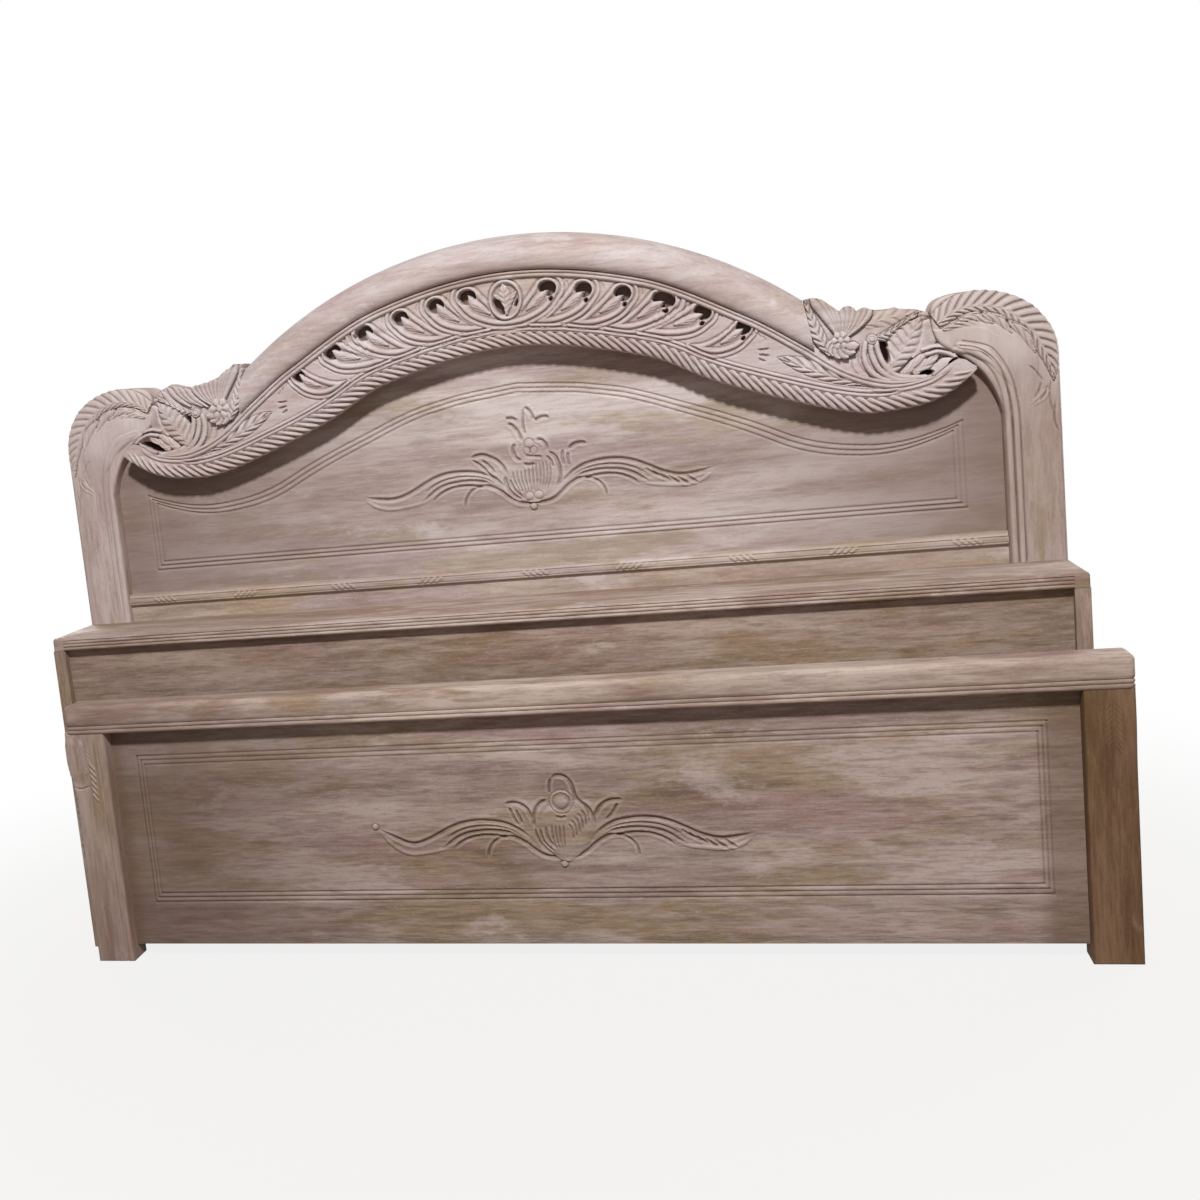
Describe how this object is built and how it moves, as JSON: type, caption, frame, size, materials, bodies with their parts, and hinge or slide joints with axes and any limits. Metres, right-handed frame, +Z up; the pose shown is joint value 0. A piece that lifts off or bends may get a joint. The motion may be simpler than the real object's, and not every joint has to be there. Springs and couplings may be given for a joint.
{
  "type": "carved wooden bed ends",
  "caption": "Carved arch-topped wooden headboard with a shelf box and the low panelled footboard of the same bed standing in front of it, ready for side rails.",
  "frame": {"origin": "on the floor under the middle of the whole set as it stands", "axes": "+X to the right seen from the front, +Y to the back of the headboard, +Z up"},
  "size_m": [1.945, 0.316, 1.327],
  "materials": {
    "raw_teak": "bare sanded teak, matte, pale pinkish grey brown",
    "raw_teak_dark": "bare sanded teak, matte, darker streaked brown",
    "fitting_steel": "plain zinc-plated steel"
  },
  "bodies": {
    "head_unit": {"box_bottom_rail": "raw_teak", "box_cleat_back": "raw_teak", "box_cleat_front": "raw_teak", "box_divider": "raw_teak", "box_end_left": "raw_teak", "box_end_right": "raw_teak", "box_floor": "raw_teak", "box_floor_ledger": "raw_teak", "box_front_panel": "raw_teak", "box_top": "raw_teak", "crest_cap": "raw_teak", "crest_frieze": "raw_teak", "crest_ground": "raw_teak", "crest_leaf_left": "raw_teak", "crest_leaf_right": "raw_teak", "crest_rope": "raw_teak", "head_back_board": "raw_teak", "head_batten_left": "raw_teak", "head_batten_middle": "raw_teak", "head_batten_right": "raw_teak", "head_bottom_rail": "raw_teak", "head_ledge_moulding": "raw_teak", "head_middle_rail": "raw_teak", "head_panel": "raw_teak", "head_post_left": "raw_teak", "head_post_right": "raw_teak", "plate_screw_head_left_high": "fitting_steel", "plate_screw_head_left_low": "fitting_steel", "plate_screw_head_right_high": "fitting_steel", "plate_screw_head_right_low": "fitting_steel", "rail_plate_head_left": "fitting_steel", "rail_plate_head_right": "fitting_steel", "rail_stud_head_left_high": "fitting_steel", "rail_stud_head_left_low": "fitting_steel", "rail_stud_head_right_high": "fitting_steel", "rail_stud_head_right_low": "fitting_steel"},
    "foot_unit": {"foot_batten_left": "raw_teak_dark", "foot_batten_right": "raw_teak_dark", "foot_bottom_rail": "raw_teak_dark", "foot_cap_rail": "raw_teak_dark", "foot_panel": "raw_teak_dark", "foot_post_left": "raw_teak_dark", "foot_post_right": "raw_teak_dark", "plate_screw_foot_left_high": "fitting_steel", "plate_screw_foot_left_low": "fitting_steel", "plate_screw_foot_right_high": "fitting_steel", "plate_screw_foot_right_low": "fitting_steel", "rail_plate_foot_left": "fitting_steel", "rail_plate_foot_right": "fitting_steel", "rail_stud_foot_left_high": "fitting_steel", "rail_stud_foot_left_low": "fitting_steel", "rail_stud_foot_right_high": "fitting_steel", "rail_stud_foot_right_low": "fitting_steel"}
  },
  "joints": [
    {"name": "footboard_set_out", "type": "slide", "parent": "head_unit", "child": "foot_unit", "axis": [-0.0229, -0.9997, 0], "range_m": [0, 1.9625]}
  ]
}
